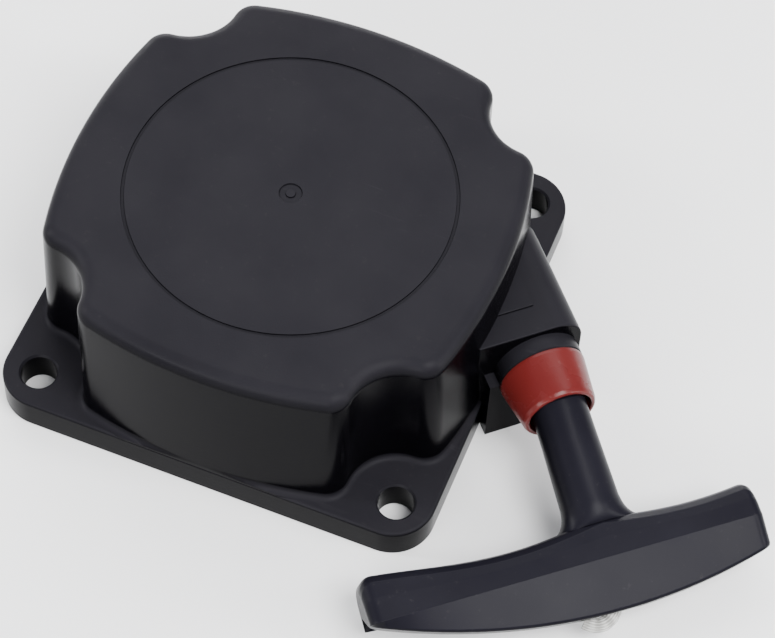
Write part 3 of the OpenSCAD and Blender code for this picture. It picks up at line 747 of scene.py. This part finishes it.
pocket_outline = rounded([(-pocket_r - 5, -pocket_r), (pocket_r, -pocket_r), (pocket_r, pocket_r),
                          (-pocket_r - 5, pocket_r)], pocket_r - 0.05, 10)
pocket = extruded("pocket", pocket_outline, grip_front - pocket_len, grip_front + 2,
                  handle_frame @ across_x)
seat = turned("seat", [(0, grip_front - seat_len), (pocket_r, grip_front - seat_len),
                       (pocket_r, grip_front - 5), (0, grip_front - 5)],
              handle_frame @ lay_along_x, 64)
stem_bore = turned("stem_bore", [(0, -stem_in - 1), (stem_bore_r + 0.5, -stem_in - 1),
                                 (stem_bore_r + 0.45, -stem_in + 0.05), (stem_bore_r, -stem_in + 0.5),
                                 (stem_bore_r, grip_front - 8), (0, grip_front - 8)],
                   handle_frame @ lay_along_x, 48)
worked(handle, "DIFFERENCE", [pocket, seat, stem_bore])
handle_nylon = coated(
    "handle_nylon", moulded,
    {"Colour": handle_black, "Rubbed colour": (0.0120, 0.0115, 0.0165, 1),
     "Smoothest": 0.30, "Roughest": 0.40, "Texture": 0.25, "Rubbing": 0.3, "Dust": 0.03},
    {"IOR": 1.53, "Specular IOR Level": 0.05})
paint_side_shade_and_gloss(handle_nylon, handle_side_shade_black, 0.8)
fitted(handle, handle_nylon, "pull_handle", ["handle"], 24)


# ---- Rope ---------------------------------------------------------------------
# White braided nylon, 3.4 mm thick: wound in the reel's groove, led out through the
# collar and the handle's stem, and knotted against a washer in the grip's front.
rope_r = 1.7
drawn_rope_r = rope_r - 0.03
rope_sharp = 50
wound_r = 34.6
rope_turns = 4.5
rope_pitch = 3.65
rope_bend_s = 32.4
reel_r = 37.52
reel_gap = 0.4
rope_stop_s = mouth_s - 3.45
stem_rope_from = -2.0
stem_rope_len = 33.0
handle_travel = 732.0
knot_at = 34.1
knot_pull = Vector((43.0, -3.4, 0.8))
knot_end = Vector((38.6, -7.9, 0.3))
knotted_r = 1.4
knot_loop_r = 1.35
knot_loop_swell = 0.6
knot_half_t = 1.4
knot_shift = 0.5
plait_rate = 1.5
plait_height = 0.06
braid_depth = 0.00025
rope_white = (0.52, 0.52, 0.50, 1)
# the grey below is painted shade in the braid's grooves, and also the colour of its soiled patches
rope_groove_shade_and_soil_grey = (0.24, 0.235, 0.22, 1)

braid, braid_in, braid_out = effect(
    "braid",
    [("Colour", "Color", (0.7, 0.7, 0.7, 1)), ("Groove shade and soil colour", "Color", (0.3, 0.3, 0.3, 1)),
     ("Strands", "Float", 8.0), ("Strand length", "Float", 4.2), ("Depth", "Float", 0.8)],
    [("Colour", "Color"), ("Roughness", "Float"), ("Normal", "Vector")])
rope_uv = braid.nodes.new("ShaderNodeUVMap")
rope_uv.uv_map = "rope"
split = braid.nodes.new("ShaderNodeSeparateXYZ")
braid.links.new(rope_uv.outputs["UV"], split.inputs["Vector"])
round_way = maths(braid, "MULTIPLY", split.outputs["X"], braid_in.outputs["Strands"])
long_way = maths(braid, "DIVIDE", split.outputs["Y"], braid_in.outputs["Strand length"])
left_turns = maths(braid, "ADD", round_way, long_way)
right_turns = maths(braid, "SUBTRACT", round_way, long_way)
left_lay = maths(braid, "SINE", maths(braid, "MULTIPLY", left_turns, 2 * math.pi))
right_lay = maths(braid, "SINE", maths(braid, "MULTIPLY", right_turns, 2 * math.pi))
plait = maths(braid, "MULTIPLY", left_lay, right_lay)
fibres = noise_node(braid, 5200, 2).outputs["Fac"]
# painted shade: the grooves between the braid's raised strands take the darker groove colour; the
# soiled patches below reuse that colour as dirt
raised_part = ranged(braid, plait, -0.6, 0.7, 0.0, 1.0)
braid_shade = mixed(braid, raised_part, braid_in.outputs["Groove shade and soil colour"], braid_in.outputs["Colour"])
soiled = ranged(braid, noise_node(braid, 140, 3).outputs["Fac"], 0.5, 0.75, 0.0, 0.35)
braid_shade = mixed(braid, soiled, braid_shade, braid_in.outputs["Groove shade and soil colour"])
braid.links.new(braid_shade, braid_out.inputs["Colour"])
braid.links.new(ranged(braid, fibres, 0.3, 0.7, 0.55, 0.8), braid_out.inputs["Roughness"])
braid_relief = maths(braid, "ADD", raised_part, maths(braid, "MULTIPLY", fibres, 0.3))
braid.links.new(bumped(braid, braid_relief, braid_depth, braid_in.outputs["Depth"]),
                braid_out.inputs["Normal"])
rope_nylon = coated("rope_nylon", braid, {"Colour": rope_white, "Groove shade and soil colour": rope_groove_shade_and_soil_grey},
                    {"Sheen Weight": 0.25, "Sheen Roughness": 0.4})


def swept(name, points, radius, sides=20, lengths=None, shape=None):
    """A rope along a row of points. shape scales its radius by the angle round it and the way."""
    points = [Vector(p) for p in points]
    ways = [0.0]
    for a, b in zip(points, points[1:]):
        ways.append(ways[-1] + (b - a).length)
    side = None
    rings = []
    for i, point in enumerate(points):
        ahead = (points[min(i + 1, len(points) - 1)] - points[max(i - 1, 0)]).normalized()
        side = ahead.orthogonal() if side is None else side
        side = (side - ahead * side.dot(ahead)).normalized()
        other = ahead.cross(side)
        ring = []
        for k in range(sides):
            a = 2 * math.pi * k / sides
            r = radius * (shape(a, ways[i]) if shape else 1.0)
            ring.append(point + r * (math.cos(a) * side + math.sin(a) * other))
        rings.append(ring)
    return lofted(name, rings, uv_lengths=lengths or ways)


# the angle at which the wound rope leaves the reel, straight towards the bend in the outlet
leave_a = math.degrees(
    math.atan2(outlet_offset, rope_bend_s)
    + math.acos(wound_r / math.hypot(rope_bend_s, outlet_offset)))
coil_points = []
coil_steps = 40
for i in range(int(coil_steps * rope_turns) + 1):
    a = math.radians(outlet_angle + leave_a + 360 * i / coil_steps)
    r = wound_r - rope_pitch * i / coil_steps
    coil_points.append((r * math.cos(a), r * math.sin(a), rope_z))
rope_on_reel = swept("rope_on_reel", coil_points, rope_r, 16)
fitted(rope_on_reel, rope_nylon, "rope_reel", ["rope_coil"], rope_sharp)

touch = Vector((wound_r * math.cos(math.radians(leave_a)),
                wound_r * math.sin(math.radians(leave_a)) - outlet_offset, 0))
bend = Vector((rope_bend_s, 0, 0))
clear = math.sqrt((reel_r + rope_r + reel_gap) ** 2 - wound_r ** 2)
lead = (bend - touch).normalized()
outlet_points = [touch + lead * (clear + ((bend - touch).length - 2 - clear) * k / 8)
                 for k in range(9)]
outlet_points += [Vector((rope_bend_s + 2 + (rope_stop_s - rope_bend_s - 2) * k / 10, 0, 0))
                  for k in range(11)]
rope_in_outlet = swept("rope_in_outlet", [outlet_frame @ p for p in outlet_points], rope_r)
fitted(rope_in_outlet, rope_nylon, "casing", ["outlet_rope"], rope_sharp)

stem_points = [handle_frame @ Vector((stem_rope_from + stem_rope_len * k / 20, 0, 0))
               for k in range(21)]
rope_in_stem = swept("rope_in_stem", stem_points, rope_r)
fitted(rope_in_stem, rope_nylon, "pull_handle", ["handle_rope"], rope_sharp)

# the stretch between collar and stem, which draws out as the handle is pulled
draw_from = outlet_frame @ Vector((mouth_s - 4.2, 0, 0))
draw_to = handle_frame @ Vector((-1.4, 0, 0))
drawn_points = [draw_from.lerp(draw_to, k / 24) for k in range(25)]
drawn_lengths = [handle_travel * (k / 24) ** 2 * (3 - 2 * k / 24) for k in range(25)]
drawn = swept("rope_drawn_out", drawn_points, drawn_rope_r, 20, drawn_lengths)
drawn.data.materials.append(rope_nylon)
drawn.data.shade_smooth()
drawn.data.set_sharp_from_angle(angle=math.radians(rope_sharp))
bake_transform(drawn)


def plaited(a, way):
    """The relief of the braid, for the knot, which is seen close to."""
    turns = 4 * a / math.pi
    left = math.sin(turns * math.pi + way * plait_rate)
    right = math.sin(turns * math.pi - way * plait_rate)
    return 1 + plait_height * left * right


# the knot's loops run as a trefoil, and its end leaves them in one bow
knot_points = []
for k in range(121):
    t = 2 * math.pi * (k + 4) / 128
    wide = knot_loop_r + knot_loop_swell * math.cos(3 * t)
    knot_points.append((knot_at + knot_half_t * math.sin(3 * t),
                        wide * math.cos(2 * t) - knot_shift, wide * math.sin(2 * t)))
tail_from = Vector(knot_points[-1])
for k in range(1, 17):
    t = k / 16
    knot_points.append((1 - t) ** 2 * tail_from + 2 * t * (1 - t) * knot_pull + t * t * knot_end)
knot = swept("handle_knot_tied", [handle_frame @ Vector(p) for p in knot_points],
             knotted_r, 24, shape=plaited)
fitted(knot, rope_nylon, "pull_handle", ["handle_knot"], rope_sharp)


# ---- Spring, reel and pawls -----------------------------------------------------
# What turns inside: a reel of natural nylon on a bronze bush, a clock spring of
# blued strip, and two steel pawls that a plated guide plate throws outwards.
inner_sharp = 30
metal_depth = 0.00003
brushed, metal_in, metal_out = effect(
    "worked_metal",
    [("Colour", "Color", (0.6, 0.6, 0.6, 1)), ("Stain", "Color", (0.3, 0.3, 0.3, 1)),
     ("Smoothest", "Float", 0.25), ("Roughest", "Float", 0.45), ("Lines", "Float", 0.4),
     ("Staining", "Float", 0.4)],
    [("Colour", "Color"), ("Roughness", "Float"), ("Normal", "Vector")])
line_map = brushed.nodes.new("ShaderNodeMapping")
line_map.inputs["Scale"].default_value = (1, 1, 18)
metal_place = brushed.nodes.new("ShaderNodeTexCoord")
brushed.links.new(metal_place.outputs["Object"], line_map.inputs["Vector"])
lines = noise_node(brushed, 420, 4, 0.6, line_map.outputs["Vector"]).outputs["Fac"]
stains = noise_node(brushed, 130, 5, 0.65).outputs["Fac"]
spots = noise_node(brushed, 1500, 2).outputs["Fac"]
stain = maths(brushed, "MULTIPLY",
              ranged(brushed, stains, 0.45, 0.7, 0.0, 1.0), metal_in.outputs["Staining"])
brushed.links.new(mixed(brushed, stain, metal_in.outputs["Colour"], metal_in.outputs["Stain"]),
                  metal_out.inputs["Colour"])
metal_gloss = maths(brushed, "ADD", maths(brushed, "MULTIPLY", lines, 0.6),
                    maths(brushed, "MULTIPLY", stains, 0.4))
brushed.links.new(ranged(brushed, metal_gloss, 0.35, 0.65,
                         metal_in.outputs["Smoothest"], metal_in.outputs["Roughest"]),
                  metal_out.inputs["Roughness"])
metal_relief = maths(brushed, "ADD", lines, maths(brushed, "MULTIPLY", spots, 0.4))
brushed.links.new(bumped(brushed, metal_relief, metal_depth, metal_in.outputs["Lines"]),
                  metal_out.inputs["Normal"])

reel_nylon = coated(
    "reel_nylon", moulded,
    {"Colour": (0.60, 0.57, 0.48, 1), "Rubbed colour": (0.48, 0.45, 0.37, 1), "Smoothest": 0.38,
     "Roughest": 0.52, "Texture": 0.3, "Rubbing": 0.5, "Dust": 0.1},
    {"IOR": 1.53, "Subsurface Weight": 0.12, "Subsurface Radius": (0.002, 0.0015, 0.001)})
blued_strip = coated(
    "blued_strip", brushed,
    {"Colour": (0.20, 0.22, 0.27, 1), "Stain": (0.10, 0.08, 0.06, 1),
     "Smoothest": 0.22, "Roughest": 0.4},
    {"Metallic": 1.0})
zinc_plate = coated(
    "zinc_plate", brushed,
    {"Colour": (0.66, 0.67, 0.69, 1), "Stain": (0.45, 0.43, 0.38, 1),
     "Smoothest": 0.24, "Roughest": 0.44},
    {"Metallic": 1.0})
sintered_steel = coated(
    "sintered_steel", brushed,
    {"Colour": (0.27, 0.27, 0.28, 1), "Stain": (0.14, 0.12, 0.10, 1),
     "Smoothest": 0.36, "Roughest": 0.58, "Lines": 0.8, "Staining": 0.6},
    {"Metallic": 1.0})
bush_bronze = coated(
    "bush_bronze", brushed,
    {"Colour": (0.56, 0.36, 0.15, 1), "Stain": (0.28, 0.17, 0.08, 1),
     "Smoothest": 0.28, "Roughest": 0.48},
    {"Metallic": 1.0})
plain_cord = coated(
    "plain_cord", moulded,
    {"Colour": rope_white, "Rubbed colour": (0.5, 0.49, 0.45, 1), "Smoothest": 0.6,
     "Roughest": 0.8, "Texture": 1.0, "Rubbing": 0.3, "Dust": 0.1},
    {"Sheen Weight": 0.25})
node_finish = {
    "reel": reel_nylon, "reel_bush": bush_bronze, "recoil_spring": blued_strip,
    "spring_cover": zinc_plate, "spring_cover_screws": zinc_plate, "reel_knot": plain_cord,
    "handle_washer": zinc_plate, "pawl_1": sintered_steel, "pawl_2": sintered_steel,
    "pawl_pin_1": zinc_plate, "pawl_pin_2": zinc_plate, "guide_plate": zinc_plate,
    "friction_spring": blued_strip, "thrust_washer": zinc_plate, "centre_screw": zinc_plate,
}
for node_name, finish in node_finish.items():
    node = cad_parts[node_name]
    node.data.materials.clear()
    node.data.materials.append(finish)
    node.data.shade_smooth()
    node.data.set_sharp_from_angle(angle=math.radians(inner_sharp))
